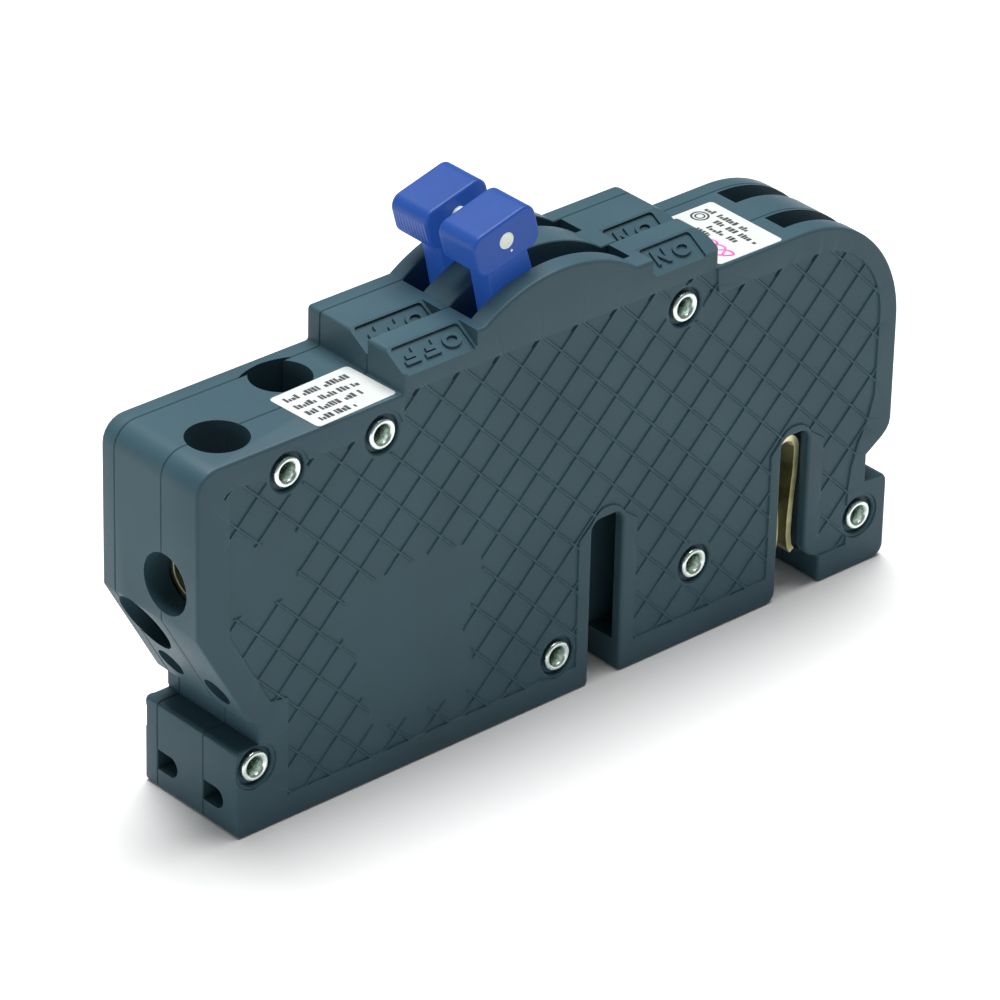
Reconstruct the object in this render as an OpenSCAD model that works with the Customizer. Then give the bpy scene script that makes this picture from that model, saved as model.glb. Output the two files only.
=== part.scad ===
// Two-pole plug-on circuit breaker, thin series, shown switched off.
// Frame: X runs from the wire end (-) to the plug-on end (+), Y across the two poles,
// Z up from the face that lies on the panel. Origin: middle of the underside.

/* [Case] */
// Overall length of the case
body_l = 162; // [161:0.5:170]
// Overall width of the case, two half-inch poles
body_w = 25.4; // [25.4:0.1:26]
// Height of the flat top at both ends
top_z = 74.4; // [74:0.1:75]
// Height of the two raised boxes beside the handles
box_z = 81; // [80.5:0.1:81.5]
// Height of the lower edge of the marked facets
facet_z = 78; // [77.5:0.1:78.5]
// Radius of the rounded guard around the handles
guard_r = 30.45; // [30.2:0.05:31]
// Thickness of the outer case walls
wall = 2; // [1.6:0.1:2.2]

/* [Handle] */
// Lean of the handles when switched off, in degrees from upright
off_angle = 15.5; // [12:0.5:18]
// Height of the handle top above its pivot
handle_top = 42.65; // [41:0.05:44]
// Height of the underside of the handle head above its pivot
head_base = 34.1; // [33.5:0.1:35]
// Width of the handle head across the poles
head_w = 9.3; // [7:0.1:9.3]
// Diameter of the pin that ties the two handles
tie_d = 3.1; // [2.5:0.1:3.5]

/* [Contacts] */
// Angle that the contact arms open, in degrees
arm_open = 12; // [8:0.5:12]
// Thickness of the contact arms
arm_t = 2.2; // [1.8:0.1:2.2]
// Diameter of the contact buttons
contact_d = 5.2; // [4:0.1:5.2]
// Number of steel plates in each arc chute
plates = 7; // [5:1:7]

/* [Terminals] */
// Diameter of the wire bore in each lug
wire_d = 9.2; // [8:0.1:9.2]
// Diameter of the terminal screws
screw_d = 5.4; // [4.5:0.1:5.4]

/* [Rivets] */
// Outer diameter of the rolled rivet flange
flange_d = 5.7; // [5:0.1:6]
// Outer diameter of the rivet tube
tube_d = 3.4; // [3:0.1:3.4]

/* [Hidden] */
$fn = 48;
// Running clearance, and the overshoot of a cut past a face
gap = 0.05;
eps = 1;

// Layers across the case: near face, two seams, far face
near_y = -body_w / 2;
seam_1 = -3.2;
seam_2 = 9.2;
far_y = body_w / 2;
// Distance between the poles, and the Y range of the near pole's chamber
pitch = seam_2 - seam_1;
room_y = [near_y + wall, seam_1];
// The handle slot is narrower than the chamber
slot_y = [-8.9, seam_1];
// Lanes in the chamber: cradle, contact arm, spring, straps
cradle_y = [-10.1, -8.9];
arm_y = [-8.4, -8.4 + arm_t];
spring_yc = -4.8;
strap_y = [-8.9, -4.9];

// Handle pivot, contact arm pivot, cradle pivot and armature pivot
pivot = [80, 56];
arm_p = [79.3, 40];
cradle_p = [66, 22];
armature_p = [51.5, 63.5];
trip_bar_p = [71, 26];
// Ends of the handle slots and of the arc vents
slot_x = [62.6, 98.9];
vent_x = [135.8, 157];
vent_y = [-8.9, -3.9];

// Raised boxes, and the facets on them
box_x = [44.4, 116.6];
// Radius of the corner at the plug-on end
corner_r = 25;
facet_x = [[box_x[0] - eps, 60.8], [101, box_x[1] + eps]];
facet_run = 5.1;

// Slots for the two line clips: left side, right side, top
mid_slot = [88.8, 96, 33.2];
jaw_slot = [134.4, 141, 33.6];
// The jaw slot widens to this X at its mouth
jaw_mouth = 145;
near_clip_x = 137.6;
far_clip_x = 92.2;

// Hold-down foot at the wire end
foot_x = 8.8;
foot_z = 17.2;
groove_x = 13.65;
chamfer = [[0, 42.8], [11.4, 22.5]];
chamfer_tilt = 60.68;

// Lugs: X, Y and Z of the wire bore's middle
near_lug = [11.2, -4.25, 50.2];
far_lug = [32.5, 5.15, 37.2];
lug_size = [11.4, 10.8, 14.6];
shaft_r = 5.6;
// Radius of the shallow arc that the far cover adds to its screw hole
shallow_r = 12.2;

rivets = [[19.6, 68.2], [40.2, 68.1], [109.2, 69], [81.5, 8.7],
    [113.9, 15.6], [154.9, 10.6], [12.8, 13.3]];
bore_r = 3.7;
bore_depth = 1.25;
boss_r = 3.6;
pin_r = 1.5;
small_pin_r = 0.8;
pin_sink = 0.7;
trunnion_r = 2.4;

case_colour = [0.28, 0.35, 0.38];
handle_colour = [0.2, 0.36, 0.72];
steel = [0.62, 0.63, 0.64];
copper = [0.72, 0.45, 0.26];
brass = [0.78, 0.68, 0.36];
fibre = [0.55, 0.38, 0.25];

// ---------- helpers ----------

// Points along an arc
function arc(cx, cz, r, a0, a1, n) =
    [for (i = [0:n]) let (a = a0 + (a1 - a0) * i / n) [cx + r * cos(a), cz + r * sin(a)]];

// Unit direction along a line of points at point i
function heading(p, i) =
    let (a = p[max(i - 1, 0)], b = p[min(i + 1, len(p) - 1)], d = b - a) d / norm(d);

// Outline of a bent strip of thickness t along a line of points
function ribbon(p, t) = concat(
    [for (i = [0:len(p) - 1]) let (h = heading(p, i)) p[i] + [-h[1], h[0]] * t / 2],
    [for (i = [len(p) - 1:-1:0]) let (h = heading(p, i)) p[i] - [-h[1], h[0]] * t / 2]);

// Extrude an XZ outline from y0 to y1
module slab(y0, y1) translate([0, y1, 0]) rotate([90, 0, 0]) linear_extrude(y1 - y0) children();

// Extrude a YZ outline from x0 to x1
module beam(x0, x1) translate([x0, 0, 0]) rotate([90, 0, 90]) linear_extrude(x1 - x0) children();

// A round bar along Y at the point p in XZ
module rod(p, r, y0, y1) translate([p[0], y1, p[1]]) rotate([90, 0, 0]) cylinder(r = r, h = y1 - y0);

// A box from its two corners
module block(a, b) translate(a) cube(b - a);

// Move from the drawing frame, X = 0 at the wire end, to the part's frame
module placed() translate([-body_l / 2, 0, 0]) children();

// Turn about the Y axis through the point p
module turned(p, angle) translate([p[0], 0, p[1]]) rotate([0, angle, 0])
    translate([-p[0], 0, -p[1]]) children();

// Copy of a near-pole piece moved to the far pole
module far_pole() translate([0, pitch, 0]) children();

// ---------- case outlines ----------

guard_a = asin((box_z - pivot[1]) / guard_r);
outline = concat(
    arc(foot_x + 1, 1, 1, 180, 270, 3),
    arc(body_l - 2.8, 2.5, 2.5, 270, 360, 5),
    arc(body_l - 2.3, 15.5, 2, 0, 90, 4),
    [[body_l - 5.8, 17.5], [body_l - 5.8, 22.8], [body_l - 2.1, 25.2]],
    [[body_l - 1, 26.2], [body_l - 0.25, 27.4], [body_l, 28.8]],
    arc(body_l - corner_r, top_z - corner_r, corner_r, 0, 90, 26),
    [[box_x[1], top_z]],
    arc(box_x[1] - 2.5, box_z - 2.5, 2.5, 0, 90, 7),
    arc(pivot[0], pivot[1], guard_r, guard_a, 180 - guard_a, 26),
    arc(box_x[0] + 0.8, box_z - 0.8, 0.8, 90, 180, 3),
    arc(box_x[0] - 0.4, top_z + 0.4, 0.4, 0, -90, 3),
    arc(4.5, top_z - 4.5, 4.5, 90, 180, 6),
    [chamfer[0], chamfer[1], [groove_x, 21.5], [groove_x, foot_z]],
    arc(foot_x + 1, foot_z - 1, 1, 90, 180, 3));

// A slot that is open at the bottom, with round top corners
module clip_slot(s) {
    r = 2;
    translate([s[0], -eps]) square([s[1] - s[0], s[2] - r + eps]);
    translate([s[0] + r, 0]) square([s[1] - s[0] - 2 * r, s[2]]);
    for (x = [s[0] + r, s[1] - r]) translate([x, s[2] - r]) circle(r);
}

// Rounding of the corner between a slot's side at x and the underside;
// the material lies on the given side of x
module mouth(x, side, r) difference() {
    translate([side > 0 ? x - eps : x - r, -eps]) square([r + eps, r + eps]);
    translate([x + side * r, r]) circle(r);
}

// The whole side profile, with the slots and the rivet holes cut out
module profile() difference() {
    polygon(outline);
    clip_slot(mid_slot);
    clip_slot(jaw_slot);
    polygon([[140, -eps], [jaw_mouth, -eps], [jaw_mouth, 5.2], [jaw_mouth - 0.4, 5.8],
        [143, 6.4], [141.6, 7.6], [jaw_slot[1], 9.2], [140, 9.2]]);
    mouth(mid_slot[0], -1, 0.9);
    mouth(mid_slot[1], 1, 1.1);
    mouth(jaw_slot[0], -1, 2.2);
    mouth(jaw_mouth, 1, 0.9);
    for (r = rivets) translate(r) circle(tube_d / 2 + gap);
}

// The mechanism chamber of one pole
module chamber() difference() {
    polygon(concat([[40.5, 18], [86, 18], [86, 35.5], [156.5, 35.5]],
        arc(135.5, 49.4, 21, 0, 90, 14), [[40.5, 70.4]]));
    for (r = rivets) translate(r) circle(boss_r);
}

// Hollow of the near pole beside the middle slot, which holds no clip there
module spare_room() translate([87, 6]) square([17, 28]);

// Room around a line clip at x, above the slot mouth
module clip_room(x) translate([x - 4.9, 7]) square([9.9, 29]);

// ---------- cuts shared by the case layers ----------

// Sloping facets that carry the handle marks, below the edge line at y
module facets(y) for (f = facet_x) beam(f[0], f[1])
    polygon([[y, box_z], [y - facet_run, facet_z], [y - facet_run - eps, facet_z],
        [y - facet_run - eps, box_z + eps], [y, box_z + eps]]);

// Everything cut from a layer for one pole, in the near pole's place
module pole_cuts(clip_x) {
    slab(room_y[0], room_y[1] + eps) {
        chamber();
        clip_room(clip_x);
    }
    block([slot_x[0], slot_y[0], 58], [slot_x[1], slot_y[1] + eps, 95]);
    block([vent_x[0], vent_y[0], 60], [vent_x[1], vent_y[1], 80]);
    calibration_access();
    foot_socket();
    key_hole();
}

// Sunk ends of the pins, in the floor of the chamber
module pin_sockets() {
    for (p = [arm_p, cradle_p]) rod(p, pin_r + gap, room_y[0] - pin_sink, room_y[0] + eps);
    rod(armature_p, small_pin_r + gap, room_y[0] - pin_sink, room_y[0] + eps);
}

// The same pin ends in the layer that closes the chamber
module pin_sockets_far_end() {
    for (p = [arm_p, cradle_p]) rod(p, pin_r + gap, seam_1 - eps, seam_1 + pin_sink);
    rod(armature_p, small_pin_r + gap, seam_1 - eps, seam_1 + pin_sink);
    rod(pivot, trunnion_r + gap, seam_1 - eps, seam_1 + 1);
}

// Raised boss that carries the handle's near trunnion
module pivot_boss() difference() {
    rod(pivot, 5.5, room_y[0], slot_y[0]);
    rod(pivot, trunnion_r + gap, slot_y[0] - 1.2, slot_y[0] + eps);
}

// Round hole square to the lower chamfer
module key_hole() translate([8.8, -7.1, 27.1]) rotate([0, chamfer_tilt, 0])
    translate([0, 0, -3]) cylinder(r = 2.95, h = 7);

// Half-round socket in the end of the foot, beside the seam
module foot_socket() beam(foot_x - eps, foot_x + 10) union() {
    translate([-6.7, 3.9]) square([3.5 + eps, 4]);
    translate([-6.7, 5.9]) circle(2);
}

// Bore under the calibration screw
module calibration_access() {
    translate([47, -6.9, 11]) cylinder(r = pin_r + gap, h = 8);
    translate([47, -6.9, -eps]) cylinder(r = 2.2, h = 12 + eps);
}

// Room for a lug, its screwdriver shaft and its wire entry
module lug_room(c, entry_x) {
    h = lug_size / 2 + [0.4, 0.3, 0];
    block([c[0] - h[0], c[1] - h[1], c[2] - h[2] - 1.6],
        [c[0] + h[0], c[1] + h[1], c[2] + h[2] + 1.4]);
    translate(c) cylinder(r = shaft_r, h = top_z - c[2] + eps);
    beam(entry_x, c[0]) translate([c[1], c[2]]) circle(5.7);
}

// Counterbores for the rivet flanges in the near face and in the far face
module near_counterbores() for (r = rivets) rod(r, bore_r, near_y - eps, near_y + bore_depth);
module far_counterbores() for (r = rivets) rod(r, bore_r, far_y - bore_depth, far_y + eps);

// ---------- case ----------

module near_case() color(case_colour) placed() {
    difference() {
        slab(near_y, seam_1) profile();
        pole_cuts(near_clip_x);
        slab(room_y[0], seam_1 - 1) spare_room();
        facets(near_y + facet_run);
        lug_room(near_lug, -eps);
        block([16, strap_y[0] - 0.2, 41.4], [41, strap_y[1] + 0.2, 44]);
        near_counterbores();
        pin_sockets();
    }
    pivot_boss();
}

module middle_case() color(case_colour) placed() {
    difference() {
        slab(seam_1, seam_2) profile();
        far_pole() pole_cuts(far_clip_x);
        facets(seam_1 + facet_run);
        lug_room(near_lug, -eps);
        lug_room(far_lug, -eps);
        far_pole() block([38, strap_y[0] - 0.2, 28.5], [41, strap_y[1] + 0.2, 31]);
        pin_sockets_far_end();
        far_pole() pin_sockets();
        block([67.5, seam_1 - eps, 22.5], [74.5, seam_1 + 6, 29.5]);
    }
    far_pole() pivot_boss();
}

module far_cover() color(case_colour) placed() difference() {
    slab(seam_2, far_y) profile();
    far_counterbores();
    far_pole() pin_sockets_far_end();
    lug_room(far_lug, -eps);
    translate([far_lug[0], -1.5, far_lug[2]]) cylinder(r = shallow_r, h = top_z - far_lug[2] + eps);
}

module tubular_rivets() color(steel) placed() for (r = rivets) difference() {
    union() {
        rod(r, tube_d / 2, near_y + 0.65, far_y - 0.65);
        for (y = [near_y + 0.65, far_y - 0.65]) translate([r[0], y, r[1]]) rotate([90, 0, 0])
            rotate_extrude() translate([flange_d / 2 - 0.6, 0]) circle(0.6);
    }
    rod(r, tube_d / 2 - 0.45, near_y - eps, far_y + eps);
}

// ---------- labels ----------

module sticker(a, b, turn) translate([a[0], a[1], top_z]) rotate([0, 0, turn])
    linear_extrude(0.12) union() {
        r = 0.8;
        s = b - a;
        translate([r, 0]) square([s[0] - 2 * r, s[1]]);
        translate([0, r]) square([s[0], s[1] - 2 * r]);
        for (x = [r, s[0] - r], y = [r, s[1] - r]) translate([x, y]) circle(r);
    }

module spec_label() color("white") placed() sticker([26.1, -12.5], [43.9, 0.05], 2.2);
module rating_label() color("white") placed() sticker([117.3, -12.1], [132.5, 6.6], -0.5);

// ---------- handles ----------

head_x = [-6.5, 7.6];
head_c = 0.5;
head_y = [-9, -9 + head_w];
stem_y = [slot_y[0] + 0.3, slot_y[1] - 0.3];
leg_r = 9;
tie_p = pivot + [head_c, 38.75];

module handle_body() translate([pivot[0], 0, pivot[1]]) {
    slab(head_y[0], head_y[1]) polygon(concat(
        arc(head_x[0] + 1.2, head_base + 1.2, 1.2, 180, 270, 4),
        arc(head_x[1] - 1.2, head_base + 1.2, 1.2, 270, 360, 4),
        arc(head_x[1] - 2, handle_top - 1.3, 1.3, 0, 90, 4),
        arc(head_x[0] + 1.7, handle_top - 1.3, 1.3, 90, 180, 4)));
    slab(stem_y[0], stem_y[1]) {
        polygon([[-4.5, head_base + 0.4], [-5.1, 22], [-5.1, 0],
            [5.1, 0], [5.1, 22], [4.5, head_base + 0.4]]);
        circle(6.5);
    }
    slab(stem_y[0], arm_y[1]) {
        translate([-1.6, -leg_r]) square([3.2, leg_r]);
        translate([0, -leg_r]) circle(1.6);
    }
    rod([0, -leg_r], small_pin_r, arm_y[1] - 0.1, stem_y[1]);
    rod([0, 0], trunnion_r, slot_y[0] - 1, slot_y[1] + 0.8);
}

module handle() turned(pivot, -off_angle) difference() {
    handle_body();
    rod(tie_p, tie_d / 2 + 0.02, head_y[0] - eps, head_y[1] + eps);
}

module near_handle() color(handle_colour) placed() handle();
module far_handle() color(handle_colour) placed() far_pole() handle();
module handle_tie_pin() color("white") placed() turned(pivot, -off_angle)
    rod(tie_p, tie_d / 2, head_y[0], pitch + head_y[1]);

// ---------- terminals ----------

module lug(c) difference() {
    block(c - lug_size / 2, c + lug_size / 2);
    beam(c[0] - 20, c[0] + 20) translate([c[1], c[2]]) circle(wire_d / 2);
    translate(c) cylinder(r = screw_d / 2 + gap, h = lug_size[2]);
}

module terminal_screw(c) translate([c[0], c[1], c[2] + lug_size[2] / 2]) difference() {
    union() {
        translate([0, 0, -1.8]) cylinder(r = screw_d / 2, h = 7.5);
        translate([0, 0, 5.4]) cylinder(r = 4.4, h = 3.4);
    }
    translate([-5, -0.6, 7.4]) cube([10, 1.2, 2]);
}

module near_terminal_lug() color([0.7, 0.72, 0.7]) placed() lug(near_lug);
module far_terminal_lug() color([0.7, 0.72, 0.7]) placed() lug(far_lug);
module near_terminal_screw() color(steel) placed() terminal_screw(near_lug);
module far_terminal_screw() color(steel) placed() terminal_screw(far_lug);

// ---------- trip unit ----------

strap_t = 1.4;
leg_x = 43;
foot_strap_z = 27.5;

// Strap from under the lug, then up or down to the foot of the bimetal
module load_strap(lug_c, top) {
    z = lug_c[2] - lug_size[2] / 2 - strap_t / 2;
    x0 = lug_c[0] - 4.5;
    slab(strap_y[0], strap_y[1]) {
        translate([x0, z - strap_t / 2]) square([leg_x - x0 + strap_t / 2, strap_t]);
        translate([leg_x - strap_t / 2, foot_strap_z]) square([strap_t, top - foot_strap_z]);
        translate([leg_x - strap_t / 2, foot_strap_z - strap_t / 2]) square([6.5, strap_t]);
    }
}

module bimetal() block([leg_x + strap_t / 2, -8.2, foot_strap_z + strap_t / 2],
    [leg_x + strap_t / 2 + 1, -5.6, 62]);

module magnet_yoke() difference() {
    block([leg_x - 0.5, -9.7, 46], [48.6, -4.1, 58]);
    block([leg_x + strap_t / 2, -8.7, 45], [50, -5.1, 59]);
}

module armature() difference() {
    union() {
        block([armature_p[0] - 0.6, -9.4, 36], [armature_p[0] + 0.6, -4.4, armature_p[1]]);
        rod(armature_p, 1.7, -9.4, -4.4);
    }
    rod(armature_p, small_pin_r + gap, -12, 0);
    block([armature_p[0] - 2, -8.2, 38], [armature_p[0] + 2, -5.6, 41]);
}

module calibration_screw() translate([47, -6.9, 12.5]) difference() {
    cylinder(r = pin_r, h = foot_strap_z - strap_t / 2 - 12.5);
    translate([-2, -0.3, -eps]) cube([4, 0.6, 2]);
}

braid_route = [[45.4, 60.5], [46.4, 65], [49.5, 67.5], [54, 68], [59, 66.5],
    [63.5, 62], [67, 55], [70.5, 47.5], [75.5, 41.2]];
module braid() slab(arm_y[0], arm_y[1]) polygon(ribbon(braid_route, 1.2));

module near_load_strap() color(copper) placed() load_strap(near_lug, near_lug[2] - lug_size[2] / 2);
module far_load_strap() color(copper) placed() far_pole() load_strap(far_lug, 40);
module near_bimetal() color([0.66, 0.6, 0.5]) placed() bimetal();
module far_bimetal() color([0.66, 0.6, 0.5]) placed() far_pole() bimetal();
module near_magnet_yoke() color(steel) placed() magnet_yoke();
module far_magnet_yoke() color(steel) placed() far_pole() magnet_yoke();
module near_armature() color(steel) placed() armature();
module far_armature() color(steel) placed() far_pole() armature();
module near_calibration_screw() color(brass) placed() calibration_screw();
module far_calibration_screw() color(brass) placed() far_pole() calibration_screw();
module near_braid() color(copper) placed() braid();
module far_braid() color(copper) placed() far_pole() braid();

// ---------- contacts and mechanism ----------

contact_x = 130.5;
fixed_z = 37.1;
moving_z = 38.65;
tail = arm_p + [0.3, -14];

// The contact arm is drawn closed and then opened
module contact_arm() turned(arm_p, -arm_open) difference() {
    union() {
        slab(arm_y[0], arm_y[1]) {
            translate(arm_p) circle(3.2);
            polygon([[79.3, 43], [100, 44.8], [128, 43.8], [133.5, 43],
                [133.5, 40], [100, 40.2], [79.3, 37]]);
            translate([tail[0] - 1.6, tail[1]]) square([3.2, 14]);
            translate(tail) circle(1.6);
        }
        block([127.5, -9.8, 40], [133.5, -4.8, 41.5]);
        rod(tail, small_pin_r, arm_y[1] - 0.1, -3.6);
    }
    rod(arm_p, pin_r + gap, -12, 0);
}

module moving_contact() turned(arm_p, -arm_open)
    translate([contact_x, -7.3, moving_z]) cylinder(d = contact_d, h = 40 - moving_z);

module fixed_contact() translate([contact_x, -7.3, fixed_z]) cylinder(d = contact_d, h = 1.4);

// Half of the clip, from the crown down one leaf to its flared end
leaf = [[2.65, 29], [2.6, 25.2], [2.1, 20.2], [1.7, 15.2], [1.6, 11.2], [2, 8.8], [2.7, 7.6]];
clip_route = concat([for (i = [len(leaf) - 1:-1:0]) [-leaf[i][0], leaf[i][1]]],
    arc(0, 29.2, 2.65, 170, 10, 8), leaf);

module line_clip(x, x0, x1) {
    slab(-10.4, -4) translate([x, 0]) polygon(ribbon(clip_route, 1.2));
    slab(-10.2, -4.2) {
        translate([x - 1.1, 32]) square([2.2, 4]);
        translate([x0, fixed_z - 1.5]) square([x1 - x0, 1.5]);
    }
}

module cradle() difference() {
    union() {
        rod(cradle_p, 3, cradle_y[0], cradle_y[1]);
        slab(cradle_y[0], cradle_y[1])
            polygon(ribbon([[54.2, 37.6], [58.5, 27], cradle_p, trip_bar_p, [76, 30]], 2.6));
    }
    rod(cradle_p, pin_r + gap, cradle_y[0] - eps, cradle_y[1] + eps);
}

// The spring's two anchor pins in the switched-off position
leg_end = pivot + leg_r * [sin(off_angle), -cos(off_angle)];
tail_end = arm_p + [0.3 * cos(arm_open) + 14 * sin(arm_open),
    0.3 * sin(arm_open) - 14 * cos(arm_open)];
module toggle_spring() {
    d = leg_end - tail_end;
    translate([tail_end[0], spring_yc, tail_end[1]]) rotate([0, atan2(d[0], d[1]), 0])
        translate([0, 0, 1.1]) cylinder(r = 1.1, h = norm(d) - 2.2);
}

chute_x = [136.5, 150];
chute_z = [40.5, 62.5];
plate_y = [-10.2, -3.7];
module arc_frame() for (y = [[-10.6, plate_y[0]], [plate_y[1], -3.3]])
    block([chute_x[0], y[0], chute_z[0]], [chute_x[1], y[1], chute_z[1]]);

module arc_plates() for (i = [0:plates - 1]) translate([0, 0, chute_z[0] + 1.5 + 3.2 * i]) difference() {
    block([chute_x[0], plate_y[0], 0], [chute_x[1], plate_y[1], 1]);
    block([chute_x[0] - eps, -8.2, -eps], [chute_x[0] + 5, -5.7, 2]);
}

module pivot_pins() {
    for (p = [arm_p, cradle_p]) rod(p, pin_r, room_y[0] - 0.6, seam_1 + 0.6);
    rod(armature_p, small_pin_r, room_y[0] - 0.6, seam_1 + 0.6);
}

module near_contact_arm() color(copper) placed() contact_arm();
module far_contact_arm() color(copper) placed() far_pole() contact_arm();
module near_moving_contact() color("silver") placed() moving_contact();
module far_moving_contact() color("silver") placed() far_pole() moving_contact();
module near_fixed_contact() color("silver") placed() fixed_contact();
module far_fixed_contact() color("silver") placed() far_pole() fixed_contact();
module near_line_clip() color(brass) placed() line_clip(near_clip_x, 126.5, near_clip_x + 1.1);
module far_line_clip() color(brass) placed() far_pole() line_clip(far_clip_x, far_clip_x - 1.1, 134.5);
module near_cradle() color(steel) placed() cradle();
module far_cradle() color(steel) placed() far_pole() cradle();
module common_trip_bar() color([0.12, 0.12, 0.13]) placed()
    rod(trip_bar_p, 1.4, cradle_y[1], cradle_y[0] + pitch);
module near_toggle_spring() color(steel) placed() toggle_spring();
module far_toggle_spring() color(steel) placed() far_pole() toggle_spring();
module near_arc_frame() color(fibre) placed() arc_frame();
module far_arc_frame() color(fibre) placed() far_pole() arc_frame();
module near_arc_plates() color(steel) placed() arc_plates();
module far_arc_plates() color(steel) placed() far_pole() arc_plates();
module near_pivot_pins() color(steel) placed() pivot_pins();
module far_pivot_pins() color(steel) placed() far_pole() pivot_pins();

near_case();
middle_case();
far_cover();
tubular_rivets();
spec_label();
rating_label();
near_handle();
far_handle();
handle_tie_pin();
near_terminal_lug();
far_terminal_lug();
near_terminal_screw();
far_terminal_screw();
near_load_strap();
far_load_strap();
near_bimetal();
far_bimetal();
near_magnet_yoke();
far_magnet_yoke();
near_armature();
far_armature();
near_calibration_screw();
far_calibration_screw();
near_braid();
far_braid();
near_contact_arm();
far_contact_arm();
near_moving_contact();
far_moving_contact();
near_fixed_contact();
far_fixed_contact();
near_line_clip();
far_line_clip();
near_cradle();
far_cradle();
common_trip_bar();
near_toggle_spring();
far_toggle_spring();
near_arc_frame();
far_arc_frame();
near_arc_plates();
far_arc_plates();
near_pivot_pins();
far_pivot_pins();
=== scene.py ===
import math
import random

import bmesh
import bpy
import numpy as np
from mathutils import Matrix, Vector
from mathutils.geometry import delaunay_2d_cdt


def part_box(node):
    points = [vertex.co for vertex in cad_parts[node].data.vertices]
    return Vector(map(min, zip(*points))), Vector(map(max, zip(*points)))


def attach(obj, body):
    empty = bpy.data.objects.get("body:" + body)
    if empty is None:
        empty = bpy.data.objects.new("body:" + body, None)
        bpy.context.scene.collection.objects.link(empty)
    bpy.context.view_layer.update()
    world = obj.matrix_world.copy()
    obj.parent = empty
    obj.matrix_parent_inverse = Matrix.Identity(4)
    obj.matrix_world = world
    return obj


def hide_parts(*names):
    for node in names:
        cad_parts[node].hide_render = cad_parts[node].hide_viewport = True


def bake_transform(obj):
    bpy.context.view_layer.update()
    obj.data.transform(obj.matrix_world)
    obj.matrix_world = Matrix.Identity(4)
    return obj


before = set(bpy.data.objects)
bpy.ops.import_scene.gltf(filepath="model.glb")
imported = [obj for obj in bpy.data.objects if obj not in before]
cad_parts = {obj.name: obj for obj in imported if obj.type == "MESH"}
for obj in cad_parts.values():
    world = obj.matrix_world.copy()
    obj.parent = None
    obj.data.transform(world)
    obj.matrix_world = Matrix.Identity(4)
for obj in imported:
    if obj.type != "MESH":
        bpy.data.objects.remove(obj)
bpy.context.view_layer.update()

# X runs from the wire end to the plug-on end, Y from the near pole to the far pole, and Z up.
MM = 0.001
WELD = 1e-6                 # merging distance, in metres
WIRE_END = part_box("near_case")[0].x
NEAR_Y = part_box("near_case")[0].y / MM
SEAM_1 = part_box("near_case")[1].y / MM
SEAM_2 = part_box("middle_case")[1].y / MM
FAR_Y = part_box("far_cover")[1].y / MM
PITCH = SEAM_2 - SEAM_1     # from a part of the near pole to its twin in the far pole
TOP_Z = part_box("rating_label")[0].z / MM
BOX_Z = 81.0                # top of the two raised boxes
FACET_Z = 78.0              # lower edge of the sloping facets on the boxes
FACET_RUN = 5.1             # how far a facet reaches across the pole
PIVOT = (80.0, 56.0)        # the handles' pivot, as (x, z)
OFF_ANGLE = math.radians(15.5)
RIVETS = [(19.6, 68.2), (40.2, 68.1), (109.2, 69), (81.5, 8.7), (113.9, 15.6), (154.9, 10.6), (12.8, 13.3)]
COUNTERBORE_R = 3.76        # a little wider than in the CAD, so that no two walls coincide


def at(x, y, z):
    """The row frame's point, in metres, for a point in millimetres from the wire end."""
    return Vector((WIRE_END + x * MM, y * MM, z * MM))


# ---------- camera, floor and light ----------

def direction(azimuth, elevation):
    """The unit vector from the object toward a viewer or a light. Azimuth 0 looks from the near side."""
    a, e = math.radians(azimuth), math.radians(elevation)
    return Vector((math.sin(a) * math.cos(e), -math.cos(a) * math.cos(e), math.sin(e)))


def add_camera(target, azimuth, elevation, roll, distance, lens):
    """The photograph's camera, which looks at the target. The distance is in metres, the lens in mm."""
    back = direction(azimuth, elevation)
    right = (-back).cross(Vector((0, 0, 1))).normalized()
    up = back.cross(right)
    r = math.radians(roll)
    turned_right = right * math.cos(r) + up * math.sin(r)
    turned_up = up * math.cos(r) - right * math.sin(r)
    data = bpy.data.cameras.new("camera")
    data.lens = lens
    data.sensor_width = 36
    data.clip_start = 0.05
    data.clip_end = 50
    camera = bpy.data.objects.new("camera", data)
    bpy.context.collection.objects.link(camera)
    turn = Matrix((turned_right, turned_up, back)).transposed().to_4x4()
    camera.matrix_world = Matrix.Translation(target + back * distance) @ turn
    bpy.context.scene.camera = camera


def add_area_light(name, size, power, azimuth, elevation, distance):
    """A round white light that faces the origin. Size and distance are in metres, power in watts."""
    back = direction(azimuth, elevation)
    data = bpy.data.lights.new(name, "AREA")
    data.shape = "DISK"
    data.size = size
    data.energy = power
    light = bpy.data.objects.new(name, data)
    light.location = back * distance
    light.rotation_mode = "QUATERNION"
    light.rotation_quaternion = (-back).to_track_quat("-Z", "Y")
    bpy.context.collection.objects.link(light)


def add_world(strength):
    """An even white surrounding light."""
    world = bpy.data.worlds.new("studio")
    world.use_nodes = True
    background = world.node_tree.nodes["Background"]
    background.inputs["Color"].default_value = (1, 1, 1, 1)
    background.inputs["Strength"].default_value = strength
    bpy.context.scene.world = world


# ---------- materials ----------

def srgb(*colour):
    """A colour given as 0 to 255 on a screen, as the linear values that a shader takes."""
    return (*(((v / 255 + 0.055) / 1.055) ** 2.4 for v in colour), 1)


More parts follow.
